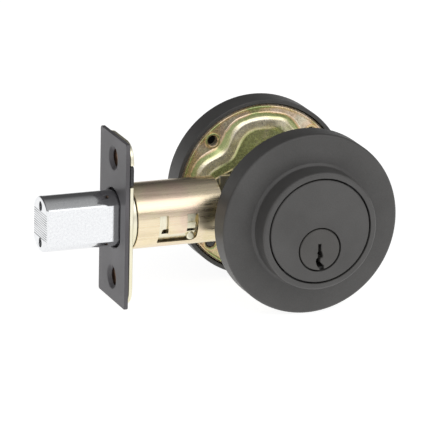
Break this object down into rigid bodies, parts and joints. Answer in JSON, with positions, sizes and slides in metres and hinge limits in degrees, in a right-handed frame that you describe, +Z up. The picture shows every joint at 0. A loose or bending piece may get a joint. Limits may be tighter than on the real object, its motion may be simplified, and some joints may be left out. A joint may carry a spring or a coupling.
{
  "type": "deadbolt door lock",
  "caption": "Single-cylinder tubular deadbolt: round stepped outside rose with key cylinder, square-cornered latch with sliding bolt, room-side rose with thumbturn.",
  "frame": {"origin": "where the axis of the door's cross bore meets the axis of the latch bore, in the middle of the door's thickness", "axes": "+Z up, -Y towards the outside of the door, -X towards the door's edge, the way the bolt throws"},
  "size_m": [0.1167, 0.0847, 0.062],
  "materials": {
    "black": "matte charcoal powder coat",
    "plate": "satin charcoal",
    "chrome": "polished chrome",
    "zinc": "satin yellow zinc plate",
    "cream": "pale yellow zinc plate",
    "iridescent": "glossy iridescent zinc dichromate",
    "grey": "dull grey-green zinc plate",
    "steel": "bright steel",
    "dark_steel": "black hardened steel",
    "brass": "machined brass",
    "rubber": "matte black",
    "nylon": "matte black"
  },
  "bodies": {
    "lock_body": {"exterior_gasket": "rubber", "exterior_rose": "black", "guard_ring": "dark_steel", "cylinder_body": "black", "driver_pin_1": "brass", "driver_pin_2": "brass", "driver_pin_3": "brass", "driver_pin_4": "brass", "driver_pin_5": "brass", "pin_spring_1": "steel", "pin_spring_2": "steel", "pin_spring_3": "steel", "pin_spring_4": "steel", "pin_spring_5": "steel", "pin_cover": "brass", "cylinder_plate": "steel", "cylinder_screw_left": "steel", "cylinder_screw_right": "steel", "mount_post_upper": "steel", "mount_post_lower": "steel", "faceplate": "plate", "backing_plate": "cream", "bolt_guide": "nylon", "latch_tube": "zinc", "latch_inner_sleeve": "cream", "latch_case": "cream", "latch_case_cover": "cream", "case_rivet_front": "steel", "case_rivet_rear": "steel", "hub_bush_exterior": "nylon", "hub_bush_interior": "nylon", "detent_spring": "steel", "mounting_plate": "iridescent", "interior_rose": "black", "wave_washer": "steel", "mounting_screw_upper": "steel", "mounting_screw_lower": "steel", "rose_screw_left": "black", "rose_screw_right": "black"},
    "key_plug": {"plug": "black", "key_pin_1": "brass", "key_pin_2": "brass", "key_pin_3": "brass", "key_pin_4": "brass", "key_pin_5": "brass", "plug_clip": "steel", "tailpiece_cap": "steel"},
    "thumbturn_drive": {"tailpiece": "steel", "crank": "steel", "crank_pin": "steel", "turn_spindle": "steel", "thumbturn": "black", "spindle_clip": "steel"},
    "bolt_slide": {"bolt": "chrome", "bolt_pin_upper": "dark_steel", "bolt_pin_lower": "dark_steel", "bolt_carriage": "grey", "carriage_pin": "steel", "link_rivet": "steel", "link_yoke": "steel"}
  },
  "joints": [
    {"name": "thumbturn", "type": "hinge", "parent": "lock_body", "child": "thumbturn_drive", "pos_m": [0, 0.03, -0.00635], "axis": [0, 1, 0], "range_deg": [0, 90]},
    {"name": "bolt_throw", "type": "slide", "parent": "lock_body", "child": "bolt_slide", "axis": [1, 0, 0], "range_m": [0, 0.0254]},
    {"name": "key_turn", "type": "hinge", "parent": "lock_body", "child": "key_plug", "pos_m": [0, -0.03, -0.00635], "axis": [0, 1, 0], "range_deg": [0, 90]}
  ],
  "couplings": [
    {"joint": "thumbturn", "follows": "bolt_throw", "rad_per_m": 61.842}
  ]
}
